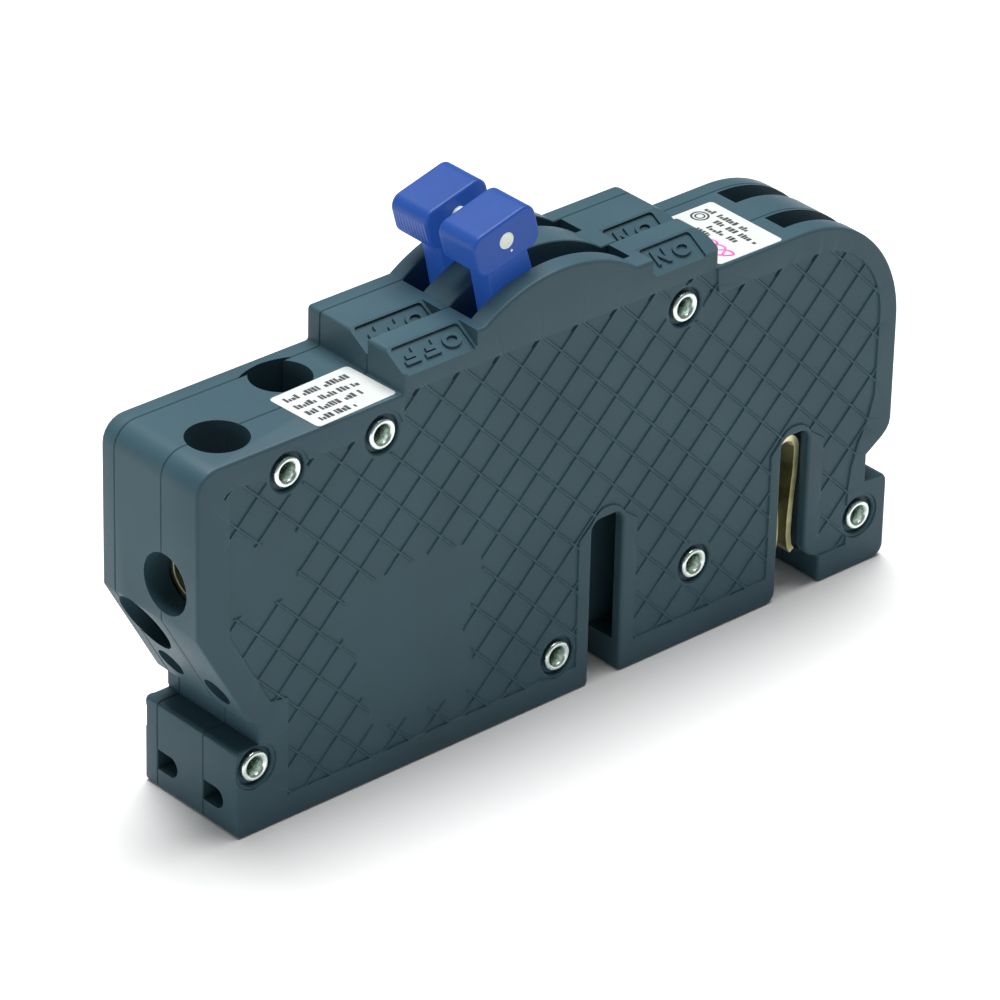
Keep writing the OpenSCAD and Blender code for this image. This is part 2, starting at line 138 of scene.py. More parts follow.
def surface(name, low, high, rough, metallic=0.0, patch=55, grain=1800, depth=0.02,
            stretch=(1, 1, 1), **fixed):
    """A procedural finish: two colours mottled by noise, and a fine grain in the roughness and the bump."""
    made = bpy.data.materials.new(name)
    made.use_nodes = True
    tree = made.node_tree
    shader = tree.nodes["Principled BSDF"]
    for socket, value in fixed.items():
        shader.inputs[socket.replace("_", " ")].default_value = value
    shader.inputs["Metallic"].default_value = metallic

    coordinates = tree.nodes.new("ShaderNodeTexCoord")
    mapping = tree.nodes.new("ShaderNodeMapping")
    mapping.inputs["Scale"].default_value = stretch
    tree.links.new(coordinates.outputs["Object"], mapping.inputs["Vector"])

    def noise(scale, detail):
        node = tree.nodes.new("ShaderNodeTexNoise")
        node.inputs["Scale"].default_value = scale
        node.inputs["Detail"].default_value = detail
        tree.links.new(mapping.outputs["Vector"], node.inputs["Vector"])
        return node.outputs["Fac"]

    def spread(value, least, most):
        """Noise keeps to the middle of its range, which is stretched to run from least to most."""
        node = tree.nodes.new("ShaderNodeMapRange")
        node.inputs["From Min"].default_value = 0.35
        node.inputs["From Max"].default_value = 0.65
        node.inputs["To Min"].default_value = least
        node.inputs["To Max"].default_value = most
        tree.links.new(value, node.inputs["Value"])
        return node.outputs["Result"]

    def blended(share, a, b):
        """A colour between two others."""
        node = tree.nodes.new("ShaderNodeMix")
        node.data_type = "RGBA"
        tree.links.new(share, node.inputs["Factor"])
        for end, value in (("A", a), ("B", b)):
            socket = next(s for s in node.inputs if s.name == end and s.type == "RGBA")
            socket.default_value = value
        return next(s for s in node.outputs if s.type == "RGBA")

    colour = blended(spread(noise(patch, 4), 0, 1), low, high)
    tree.links.new(colour, shader.inputs["Base Color"])
    fine = noise(grain, 3)
    tree.links.new(spread(fine, *rough), shader.inputs["Roughness"])
    bump = tree.nodes.new("ShaderNodeBump")
    bump.inputs["Distance"].default_value = depth * MM
    bump.inputs["Strength"].default_value = 1.0
    tree.links.new(fine, bump.inputs["Height"])
    tree.links.new(bump.outputs["Normal"], shader.inputs["Normal"])
    return made


FINISHES = {
    "case_plastic": dict(
        low=srgb(50, 76, 86), high=srgb(55, 82, 92), rough=(0.4, 0.5), patch=45, grain=2600, depth=0.012,
        Specular_IOR_Level=0.2),
    # The handles' emission is a painted glow: it lifts their shaded sides and evens out their light and
    # shade.
    "handle_plastic": dict(
        low=srgb(25, 52, 106), high=srgb(29, 58, 114), rough=(0.34, 0.42), patch=90, grain=1500,
        depth=0.012, Subsurface_Weight=0.3, Subsurface_Radius=(0.3, 0.5, 1.0), Subsurface_Scale=0.004,
        Specular_IOR_Level=0.2, Emission_Color=srgb(40, 88, 180), Emission_Strength=0.42),
    "pin_plastic": dict(
        low=srgb(228, 238, 224), high=srgb(242, 248, 238), rough=(0.4, 0.5), patch=200, grain=2500,
        depth=0.01),
    "label": dict(
        low=srgb(190, 194, 193), high=srgb(198, 202, 200), rough=(0.45, 0.6), patch=120, grain=3000,
        depth=0.006),
    "ink": dict(
        low=srgb(22, 25, 28), high=srgb(64, 68, 72), rough=(0.5, 0.6), patch=900, grain=3000, depth=0.004),
    "pink_ink": dict(
        low=srgb(190, 60, 150), high=srgb(215, 110, 185), rough=(0.5, 0.6), patch=600, grain=3000,
        depth=0.004),
    "rivet_steel": dict(
        low=srgb(204, 218, 210), high=srgb(230, 242, 235), rough=(0.2, 0.34), metallic=1.0, patch=400,
        grain=900, depth=0.014),
    "steel": dict(
        low=srgb(150, 153, 156), high=srgb(180, 183, 186), rough=(0.26, 0.42), metallic=1.0, patch=150,
        grain=1200, depth=0.02, stretch=(1, 1, 0.15)),
    "lug_metal": dict(
        low=srgb(160, 160, 132), high=srgb(186, 186, 160), rough=(0.3, 0.45), metallic=1.0, patch=160,
        grain=1000, depth=0.03),
    "copper": dict(
        low=srgb(186, 112, 74), high=srgb(206, 136, 96), rough=(0.28, 0.42), metallic=1.0, patch=140,
        grain=1200, depth=0.02),
    "clip_brass": dict(
        low=srgb(146, 144, 98), high=srgb(212, 208, 164), rough=(0.3, 0.46), metallic=1.0, patch=150,
        grain=900, depth=0.012),
    "bimetal": dict(
        low=srgb(150, 140, 118), high=srgb(172, 160, 136), rough=(0.3, 0.4), metallic=1.0, patch=150,
        grain=1500, depth=0.015, stretch=(1, 1, 0.1)),
    "contact_silver": dict(
        low=srgb(205, 206, 204), high=srgb(226, 226, 224), rough=(0.2, 0.35), metallic=1.0, patch=300,
        grain=1500, depth=0.02),
    "fibre": dict(
        low=srgb(126, 86, 58), high=srgb(150, 106, 74), rough=(0.6, 0.75), patch=200, grain=2500,
        depth=0.03, stretch=(1, 1, 0.3)),
    "black_plastic": dict(
        low=srgb(26, 28, 30), high=srgb(36, 38, 40), rough=(0.4, 0.5), patch=120, grain=2200, depth=0.012),
}
MATERIALS = {name: surface(name, **finish) for name, finish in FINISHES.items()}


def dress(obj, slot, material=None):
    """Gives an object the slot's material, or another one."""
    obj.data.materials.clear()
    obj.data.materials.append(MATERIALS[material or slot])


# ---------- mesh helpers ----------

def arc(centre, radius, start, end, count):
    """Points along an arc, from one angle to another in degrees."""
    angles = np.radians(np.linspace(start, end, count + 1))
    return [(centre[0] + radius * math.cos(a), centre[1] + radius * math.sin(a)) for a in angles]


def drop_normals(mesh):
    """Removes the CAD mesh's stored normals, which a boolean leaves in patches."""
    if "custom_normal" in mesh.attributes:
        mesh.attributes.remove(mesh.attributes["custom_normal"])


def shade(mesh, angle=32):
    """Smooth shading, with sharp edges where faces meet at more than the angle."""
    mesh.shade_smooth()
    mesh.set_sharp_from_angle(angle=math.radians(angle))


def new_piece(name, points, faces, slot, body, node=None, material=None, angle=32):
    """A mesh piece from points in millimetres. It rides on a body, if one is given."""
    mesh = bpy.data.meshes.new(name)
    mesh.from_pydata([at(*p) for p in points], [], faces)
    mesh.validate()
    shade(mesh, angle)
    obj = bpy.data.objects.new(name, mesh)
    bpy.context.collection.objects.link(obj)
    dress(obj, slot, material)
    if body:
        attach(obj, body)
    if node:
        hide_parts(node)
    return obj


def signed_area(loop):
    """An outline's area, positive where it runs counterclockwise."""
    after = np.roll(loop, -1, 0)
    return 0.5 * float(np.sum(loop[:, 0] * after[:, 1] - after[:, 0] * loop[:, 1]))


def mitres(loop):
    """At each corner, the step that moves both of its sides by one to the left."""
    ahead = np.roll(loop, -1, 0) - loop
    ahead /= np.linalg.norm(ahead, axis=1)[:, None]
    normal = np.c_[-ahead[:, 1], ahead[:, 0]]
    before = np.roll(normal, 1, 0)
    return (normal + before) / np.maximum(0.4, 1 + (normal * before).sum(1))[:, None]


def gap_to(points, loop):
    """Distance from each point to a closed outline."""
    a, b = loop, np.roll(loop, -1, 0)
    d = b - a
    t = ((points[:, None] - a) * d).sum(2) / (d * d).sum(1)
    nearest = a + np.clip(t, 0, 1)[..., None] * d
    return np.linalg.norm(points[:, None] - nearest, axis=2).min(1)


def within(points, loop):
    """True for each point that lies inside a closed outline."""
    a, b = loop, np.roll(loop, -1, 0)
    x, z = points[:, 0][:, None], points[:, 1][:, None]
    straddles = (a[:, 1] > z) != (b[:, 1] > z)
    rise = np.where(b[:, 1] == a[:, 1], 1, b[:, 1] - a[:, 1])
    crossing = a[:, 0] + (z - a[:, 1]) * (b[:, 0] - a[:, 0]) / rise
    return (straddles & (x < crossing)).sum(1) % 2 == 1


def cad_solid(node):
    """A welded copy of a CAD node's mesh, ready for a boolean."""
    work = bmesh.new()
    work.from_mesh(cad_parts[node].data)
    bmesh.ops.remove_doubles(work, verts=work.verts, dist=WELD)
    mesh = bpy.data.meshes.new(node + "_solid")
    work.to_mesh(mesh)
    work.free()
    drop_normals(mesh)
    return mesh


def flat_outline(node, y):
    """The outer outline, in millimetres, of the flat face that a CAD node has at y."""
    work = bmesh.new()
    work.from_mesh(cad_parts[node].data)
    bmesh.ops.remove_doubles(work, verts=work.verts, dist=WELD)
    flat = {f for f in work.faces if all(abs(v.co.y - y * MM) < WELD for v in f.verts)}
    follow = {}
    for face in work.faces:
        for corner in face.loops if face in flat else ():
            if sum(f in flat for f in corner.edge.link_faces) == 1:
                follow[corner.vert] = corner.link_loop_next.vert
    loops = []
    while follow:
        vertex, loop = next(iter(follow)), []
        while vertex in follow:
            loop.append(((vertex.co.x - WIRE_END) / MM, vertex.co.z / MM))
            vertex = follow.pop(vertex)
        loops.append(np.array(loop))
    work.free()
    outer = max(loops, key=lambda loop: abs(signed_area(loop)))
    return outer if signed_area(outer) > 0 else outer[::-1]


def boolean(obj_mesh, tool_mesh, operation):
    """The exact boolean of two closed meshes, as a new mesh."""
    objects = [bpy.data.objects.new("boolean_work", m) for m in (obj_mesh, tool_mesh)]
    for o in objects:
        bpy.context.collection.objects.link(o)
    modifier = objects[0].modifiers.new("cut", "BOOLEAN")
    modifier.operation = operation
    modifier.solver = "EXACT"
    modifier.object = objects[1]
    bpy.context.view_layer.update()
    done = bpy.data.meshes.new_from_object(objects[0].evaluated_get(bpy.context.evaluated_depsgraph_get()))
    for o in objects:
        bpy.data.objects.remove(o)
    return done


# ---------- case ----------

RIM = 0.6           # rounding of the outer faces' edges
RIM_ROWS = (0.08, 0.22, 0.42, 0.68, 1.0, 1.25)      # where the face is divided, as shares of RIM
BORE_RIM = 0.25     # rounding at the rivets' counterbores
SEAM = 0.2          # chamfer where two layers of the case meet
TUCK = 0.02         # how far a detailed skin lies inside the CAD surface
SPACING = 8.925     # the ribs' spacing along X and along Z
CROSSING = (62.4, 52.4)     # one crossing of two ribs, as (x, z)
RIBS_EACH_WAY = 19  # ribs of each slope counted up and down from that crossing, enough for the whole face
SHORTEST_RIB = 0.3
CREST = 0.13        # half the width of a rib's crest
FLANK = 0.17        # run of a rib's side and of the panel's wall
POCKET_D = 0.34     # depth of the pockets between the ribs
CREST_D = 0.07      # depth of the ribs' crests
BOSS_R = 4.5        # the plain sunk ring around each rivet
PANEL_TOP = 69.1    # the panel's upper wall beside the raised boxes
PIT_L, PIT_W, PIT_WALL = 2.1, 0.34, 0.08    # the narrow pits beside the ribs' upper ends
PIT_D = 0.5         # extra depth of those pits
CIRCLE_SIDES = 28


def panel_outline():
    """The sunk panel with the ribs, counterclockwise from its upper wire end."""
    return np.array(
        [(7, PANEL_TOP), (7, 41), (15.9, 25), (19.8, 24.3), (19.8, 4.9), (85.8, 4.9), (85.8, 30.4)]
        + arc((92.4, 31), 4.3, 155, 25, 7)
        + [(99.45, 30.4), (99.45, 5.5), (131.9, 5.5), (131.9, 31)]
        + arc((137.6, 31), 4.4, 155, 25, 7)
        + [(144.8, 30.4), (144.8, 5.5), (151.8, 5.5), (151.8, 17.4), (152.3, 21.4), (153.8, 26),
           (156.1, 31), (157.3, 35)]
        + arc((139.9, 51.5), 17.6, 0, 90, 18)
        + [(117, PANEL_TOP), (116.6, 74.35), (44.8, 74.35), (44.8, PANEL_TOP)])


# The plain fields without ribs, where the real case carries marks that are left out.
PLAIN_FIELDS = [
    np.array([(4.7, 44.2), (21.4, 44.2), (22, 50), (21.4, 56.2), (4.7, 56.2)]),
    np.array([(39.6, 9.8), (61, 9.8), (61.6, 17), (59.2, 22.4), (63.4, 33.8), (62.3, 39.4), (50.5, 40.8),
              (32.6, 39.6), (32, 31), (35, 27), (35.4, 20.4), (38.2, 14)]),
]


def ring(centre, radius, count=CIRCLE_SIDES):
    """A closed circle, counterclockwise."""
    angles = np.linspace(0, 2 * math.pi, count, endpoint=False)
    return np.c_[centre[0] + radius * np.cos(angles), centre[1] + radius * np.sin(angles)]


BOSSES = [ring(r, BOSS_R) for r in RIVETS]


def signed_gap(points, loop):
    """Distance to an outline, positive inside it."""
    return np.where(within(points, loop), 1, -1) * gap_to(points, loop)


def clipped(origin, heading, loops, keep):
    """The stretches of a straight line between its crossings with the outlines, where keep says yes."""
    side = np.array((-heading[1], heading[0]))
    cuts = []
    for loop in loops:
        a, b = loop, np.roll(loop, -1, 0)
        sa, sb = (a - origin) @ side, (b - origin) @ side
        crossing = (sa > 0) != (sb > 0)
        t = sa[crossing] / (sa[crossing] - sb[crossing])
        met = a[crossing] + (b - a)[crossing] * t[:, None]
        cuts += list((met - origin) @ heading)
    cuts.sort()
    for start, end in zip(cuts, cuts[1:]):
        if end - start > SHORTEST_RIB and keep((origin + heading * (start + end) / 2)[None])[0]:
            yield origin + heading * start, origin + heading * end


class FaceDetail:
    """The relief of one outer face of the case: rounded rim, sunk panel, ribs and rivet rings."""

    def __init__(self, outline):
        self.outline = outline
        self.panel = panel_outline()
        self.walls = [self.panel] + PLAIN_FIELDS + BOSSES
        self.pits = list(self.rib_end_pits())

    def in_lattice(self, points):
        """True for each point of the panel where ribs run."""
        found = within(points, self.panel)
        for loop in PLAIN_FIELDS + BOSSES:
            found &= ~within(points, loop)
        return found

    def rib_lines(self, slope):
        """For each rib of one slope: a point on its middle line, and the line's unit direction."""
        heading = np.array((1, slope)) / math.sqrt(2)
        for k in range(-RIBS_EACH_WAY, RIBS_EACH_WAY + 1):
            yield np.array((CROSSING[0], CROSSING[1] + k * SPACING)), heading

    def rib_end_pits(self):
        """Outlines of the narrow pits left of each rib that rises to the panel's upper wall."""
        side = np.array((-1, 1)) / math.sqrt(2)
        near_w = CREST + FLANK
        far_w = near_w + PIT_W
        for centre, heading in self.rib_lines(1):
            for _, end in clipped(centre, heading, self.walls, self.in_lattice):
                clear = min(np.linalg.norm(end - np.array(r)) for r in RIVETS)
                if end[1] > PANEL_TOP - 0.1 and clear > BOSS_R + 0.5:
                    yield np.array([end + side * far_w - heading * PIT_L,
                                    end + side * near_w - heading * PIT_L,
                                    end + side * near_w - heading * (near_w + 1.5 * FLANK),
                                    end + side * far_w - heading * (far_w + 1.5 * FLANK)])

    def crest(self, points):
        """From 0 at a rib's foot to 1 on its crest."""
        share = np.zeros(len(points))
        for slope in (1, -1):
            offset = points[:, 1] - CROSSING[1] - slope * (points[:, 0] - CROSSING[0])
            off_line = np.abs((offset + SPACING / 2) % SPACING - SPACING / 2) / math.sqrt(2)
            share = np.maximum(share, np.clip((CREST + FLANK - off_line) / FLANK, 0, 1))
        return share

    def depth(self, points):
        """How far each point of the face lies below the case's flat side."""
        edge = gap_to(points, self.outline)
        edge[~within(points, self.outline)] = 0
        rest = np.clip(RIM - edge, 0, RIM)
        down = RIM - np.sqrt(RIM ** 2 - rest ** 2)
        centre = np.min([np.linalg.norm(points - np.array(r), axis=1) for r in RIVETS], axis=0)
        down += np.clip((COUNTERBORE_R + BORE_RIM - centre) / BORE_RIM, 0, 1) ** 2 * BORE_RIM

        panel = signed_gap(points, self.panel)
        sunk = np.clip(np.maximum(panel, BOSS_R - centre) / FLANK, 0, 1)
        clear = np.min([-signed_gap(points, loop) for loop in PLAIN_FIELDS] + [centre - BOSS_R], axis=0)
        rib = self.crest(points) * np.clip(clear / FLANK, 0, 1) * (panel > 0)
        for pit in self.pits:
            close = np.linalg.norm(points - pit.mean(0), axis=1) < PIT_L
            down[close] += np.clip(signed_gap(points[close], pit) / PIT_WALL, 0, 1) * PIT_D
        return down + sunk * (POCKET_D - rib * (POCKET_D - CREST_D))

    def constraints(self):
        """Closed loops and single lines that the face's triangles follow."""
        loops = [self.outline]
        step = mitres(self.outline)
        for share in RIM_ROWS:
            moved = self.outline + step * RIM * share
            loops.append(moved[gap_to(moved, self.outline) > RIM * share - 0.03])
        loops += [self.panel, self.panel + mitres(self.panel) * FLANK]
        for loop in PLAIN_FIELDS:
            loops += [loop, loop - mitres(loop) * FLANK]
        for pit in self.pits:
            loops += [pit, pit + mitres(pit) * PIT_WALL]
        for centre in RIVETS:
            for radius in (COUNTERBORE_R, COUNTERBORE_R + BORE_RIM / 2, COUNTERBORE_R + BORE_RIM,
                           BOSS_R - FLANK, BOSS_R, BOSS_R + FLANK):
                loops.append(ring(centre, radius))
        lines = []
        for slope in (1, -1):
            for centre, heading in self.rib_lines(slope):
                side = np.array((-heading[1], heading[0]))
                for off in (-CREST - FLANK, -CREST, CREST, CREST + FLANK):
                    lines += clipped(centre + side * off, heading, self.walls, self.in_lattice)
        return loops, lines


def planar_mesh(loops, lines):
    """Triangles that follow the loops and lines.

    Returns the points, the triangles, and which points the first loop's points became.
    """
    points, edges = [], []
    for loop in loops:
        first = len(points)
        points += [tuple(p) for p in loop]
        edges += [(first + i, first + (i + 1) % len(loop)) for i in range(len(loop))]
    for a, b in lines:
        edges.append((len(points), len(points) + 1))
        points += [tuple(a), tuple(b)]
    made, _, faces, source, _, _ = delaunay_2d_cdt([Vector(p) for p in points], edges, [], 0, 1e-4)
    where = {original: i for i, originals in enumerate(source) for original in originals}
    made = np.array([tuple(p) for p in made])
    triangles = np.array([tuple(f) for f in faces])
    keep = within(made[triangles].mean(1), loops[0])
    return made, triangles[keep], [where[i] for i in range(len(loops[0]))]


def case_skin(outline, detail, face_y, seam_y):
    """A closed solid: one outer face with its relief, the side wall, and a chamfered edge at the seam."""
    toward = 1 if seam_y > face_y else -1
    face, triangles, rim = planar_mesh(*detail.constraints())
    down = detail.depth(face)
    down[rim] = RIM
    points = [(p[0], face_y + toward * (TUCK + d), p[1]) for p, d in zip(face, down)]
    faces = [tuple(t) if toward > 0 else tuple(t[::-1]) for t in triangles]
    first = len(points)
    count = len(outline)
    step = mitres(outline)
    for inward, y in ((0, seam_y - toward * SEAM), (SEAM, seam_y - toward * TUCK / 2)):
        points += [(p[0], y, p[1]) for p in outline + step * inward]
    rings = [rim, list(range(first, first + count)), list(range(first + count, first + 2 * count))]
    for a, b in zip(rings, rings[1:]):
        for i in range(count):
            j = (i + 1) % count
            quad = (a[i], b[i], b[j], a[j])
            faces.append(quad if toward > 0 else quad[::-1])
    cap = tuple(rings[-1])
    faces.append(cap[::-1] if toward > 0 else cap)
    return points, faces


def layer_skin(outline, y0, y1):
    """A closed solid between two seams, with both edges chamfered."""
    step = mitres(outline)
    count = len(outline)
    points = []
    for inward, y in ((SEAM, y0 + TUCK / 2), (0, y0 + SEAM), (0, y1 - SEAM), (SEAM, y1 - TUCK / 2)):
        points += [(p[0], y, p[1]) for p in outline + step * inward]
    faces = []
    for row in range(3):
        for i in range(count):
            j = (i + 1) % count
            a, b = row * count, (row + 1) * count
            faces.append((a + i, b + i, b + j, a + j))
    faces.append(tuple(range(count)))
    faces.append(tuple(range(3 * count, 4 * count))[::-1])
    return points, faces


def closed_mesh(name, points, faces):
    """A closed mesh for a boolean, from points in millimetres."""
    mesh = bpy.data.meshes.new(name)
    mesh.from_pydata([at(*p) for p in points], [], faces)
    work = bmesh.new()
    work.from_mesh(mesh)
    bmesh.ops.remove_doubles(work, verts=work.verts, dist=WELD / 10)
    bmesh.ops.triangulate(work, faces=[f for f in work.faces if len(f.verts) > 4])
    bmesh.ops.recalc_face_normals(work, faces=work.faces)
    work.to_mesh(mesh)
    work.free()
    return mesh


def case_piece(name, node, skin, marks=None):
    """One layer of the case: what the CAD node and the detailed skin have in common, less the marks."""
    mesh = boolean(cad_solid(node), closed_mesh(name + "_skin", *skin), "INTERSECT")
    if marks is not None:
        mesh = boolean(mesh, marks, "DIFFERENCE")
    mesh.name = name
    shade(mesh, 30)
    piece = bpy.data.objects.new(name, mesh)
    bpy.context.collection.objects.link(piece)
    dress(piece, "case_plastic")
    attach(piece, "case")
    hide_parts(node)
    return piece


def build_case():
    """The three layers of the case, all on the outline of the far cover."""
    outline = flat_outline("far_cover", FAR_Y)
    outline = outline + mitres(outline) * TUCK
    detail = FaceDetail(outline)
    case_piece("near_case_moulding", "near_case", case_skin(outline, detail, NEAR_Y, SEAM_1),
               mark_cutter(NEAR_Y + FACET_RUN))
    case_piece("middle_case_moulding", "middle_case", layer_skin(outline, SEAM_1, SEAM_2),
               mark_cutter(SEAM_1 + FACET_RUN))
    case_piece("far_cover_moulding", "far_cover", case_skin(outline, detail, FAR_Y, SEAM_2))


# ---------- marks moulded into the facets ----------

FACET_SLOPE = math.hypot(FACET_RUN, BOX_Z - FACET_Z)
FIELDS_X = [(45.3, 60.2), (101.6, 113.4)]   # the sunk fields round the words
FIELD_START = 0.45      # from the facet's upper edge to the field, down the slope
FIELD_D = 0.45
FIELD_CORNER = 0.7
WORDS = [(59.2, "OFF"), (111.9, "ON")]      # each word with the X at which it starts
LETTER_START = 1.45     # from the facet's upper edge to the letters
LETTER_H = 3.0
STROKE = 0.8
O_W, F_W, N_W = 3.9, 3.3, 3.3
ADVANCE = {"O": O_W + 1.2, "F": F_W + 1.1, "N": N_W + 1.1}
LETTER_SPAN = (-1, 2)   # the letters' prisms reach through the whole depth of the field
F_ARM_L = 2.6           # how far the F's middle arm reaches, and its lower edge
F_ARM_LOW = 1.1
N_CUT = 1.1             # where the N's slanting stroke meets its posts
LETTERS = {
    "F": [(0, 0), (STROKE, 0), (STROKE, F_ARM_LOW), (F_ARM_L, F_ARM_LOW),
          (F_ARM_L, F_ARM_LOW + STROKE), (STROKE, F_ARM_LOW + STROKE), (STROKE, LETTER_H - STROKE),
          (F_W, LETTER_H - STROKE), (F_W, LETTER_H), (0, LETTER_H)],
    "N": [(0, 0), (STROKE, 0), (STROKE, LETTER_H - N_CUT), (N_W - STROKE, 0), (N_W, 0), (N_W, LETTER_H),
          (N_W - STROKE, LETTER_H), (N_W - STROKE, N_CUT), (STROKE, LETTER_H), (0, LETTER_H)],
}


def oval(centre, width, height):
    """A closed ellipse, counterclockwise."""
    return [(centre[0] + width / 2 * math.cos(a), centre[1] + height / 2 * math.sin(a))
            for a in np.linspace(0, 2 * math.pi, CIRCLE_SIDES, endpoint=False)]


def prism(work, place, outline, low, high, hole=None):
    """A closed prism on a tilted plane, with an optional hole of as many points as its outline."""
    count = len(outline)
    layers = [[work.verts.new(place(u, v, w)) for u, v in loop]
              for w in (low, high) for loop in ([outline, hole] if hole else [outline])]
    bottom, top = layers[0], layers[len(layers) // 2]
    for i in range(count):
        j = (i + 1) % count
        work.faces.new((bottom[i], bottom[j], top[j], top[i]))
        if hole:
            inner_bottom, inner_top = layers[1], layers[3]
            work.faces.new((inner_bottom[j], inner_bottom[i], inner_top[i], inner_top[j]))
            work.faces.new((bottom[j], bottom[i], inner_bottom[i], inner_bottom[j]))
            work.faces.new((top[i], top[j], inner_top[j], inner_top[i]))
    if not hole:
        work.faces.new(bottom[::-1])
        work.faces.new(top)


def mark_cutter(edge_y):
    """What is cut from the two facets below the edge line at edge_y: a sunk field round raised letters."""
    fields, letters = bmesh.new(), bmesh.new()
    fall = np.array((0, -FACET_RUN, FACET_Z - BOX_Z)) / FACET_SLOPE
    out = np.array((0, FACET_Z - BOX_Z, FACET_RUN)) / FACET_SLOPE

    def placed(x0, v0):
        """A placing of (u, v, w): u toward the wire end, v down the slope and w out of the facet."""
        def place(u, v, w):
            point = np.array((x0 - u, edge_y, BOX_Z)) + fall * (v0 + v) + out * w
            return at(*point)
        return place

    for x0, x1 in FIELDS_X:
        width, height, corner = x1 - x0, FACET_SLOPE + 1, FIELD_CORNER
        sunk = (arc((corner, corner), corner, 180, 270, 5)
                + arc((width - corner, corner), corner, 270, 360, 5)
                + [(width, height), (0, height)])
        prism(fields, placed(x1, FIELD_START), sunk, -FIELD_D, 1)
    for x0, word in WORDS:
        for letter in word:
            if letter == "O":
                middle = (O_W / 2, LETTER_H / 2)
                prism(letters, placed(x0, LETTER_START), oval(middle, O_W, LETTER_H), *LETTER_SPAN,
                      oval(middle, O_W - 2 * STROKE, LETTER_H - 2 * STROKE))
            else:
                prism(letters, placed(x0, LETTER_START), LETTERS[letter], *LETTER_SPAN)
            x0 -= ADVANCE[letter]
    meshes = []
    for name, work in (("fields", fields), ("letters", letters)):
        bmesh.ops.recalc_face_normals(work, faces=work.faces)
        meshes.append(bpy.data.meshes.new(name))
        work.to_mesh(meshes[-1])
        work.free()
    return boolean(*meshes, "DIFFERENCE")


# ---------- handles ----------

# The handles are drawn upright, in millimetres about their pivot, and lean where they lie switched off.
HEAD_TOP, HEAD_BASE = 42.65, 34.1
HEAD_X = (-6.5, 7.6)
HEAD_Y = (-9.0, 0.3)        # the near head, across the poles
HEAD_EDGE = 0.5             # rounding of the head's edges
HEAD_CORNERS = (3.0, 2.6, 2.4, 2.3)     # radii of its profile, from the lower corner at the wire end
STEM_Y = (-8.6, -3.5)
LEG_Y = (-8.6, -6.2)
TRUNNION_Y = (-9.9, -2.4)
SPRING_PIN_Y = (-6.4, -3.5)
STEM_R = 6.5                # the disc round the pivot
SPRING_PIN = (0, -9)        # where the leg holds the toggle spring, as (x, z)
KNURL_PITCH = 0.84
KNURL_TOP = 4.6             # how high the ridges reach above the head's lower edge
KNURL_REACH = 3.2           # and how far along that edge
KNURL_FADE = (0.8, 1.2)     # the run over which they die out, along X and along Z
TIE_PIN = (0.5, 38.75)      # as (x, z)
TIE_PIN_FAR_Y = 12.7
TIE_PIN_R = 1.55
GLINT_DOT = (0.59, -2.47)         # a small white dome that paints a highlight, from the tie pin's centre


def leant(x, z):
    """Where a point of the handle drawn upright lies when it is switched off."""
    c, s = math.cos(OFF_ANGLE), math.sin(OFF_ANGLE)
    return PIVOT[0] + x * c - z * s, PIVOT[1] + x * s + z * c


def rounded_slab(points, faces, profile, span, edge, rings=4, middle=(), shift=None):
    """Adds a part of the handle across a span of Y, from its XZ profile, with rounded edges all round."""
    y0, y1 = span
    profile = np.array(profile)
    if signed_area(profile) < 0:
        profile = profile[::-1]
    step = mitres(profile)
    levels = []
    for i in range(rings + 1):
        turn = math.pi / 2 * i / rings
        levels.append((y0 + edge * (1 - math.cos(turn)), edge * (1 - math.sin(turn))))
    mirrored = [(y0 + y1 - y, inward) for y, inward in levels[::-1]]
    levels += [(y, 0) for y in middle] + mirrored
    first = len(points)
    count = len(profile)
    for y, inward in levels:
        loop = profile + step * inward
        if shift is not None:
            loop = loop + shift(profile, step, y) * (1 - inward / edge)
        for x, z in (leant(*p) for p in loop):
            points.append((x, y, z))
    for level in range(len(levels) - 1):
        for i in range(count):
            j = (i + 1) % count
            a, b = first + level * count, first + (level + 1) * count
            faces.append((a + j, b + j, b + i, a + i))
    faces.append(tuple(range(first, first + count)))
    last = first + (len(levels) - 1) * count
    faces.append(tuple(range(last, last + count))[::-1])


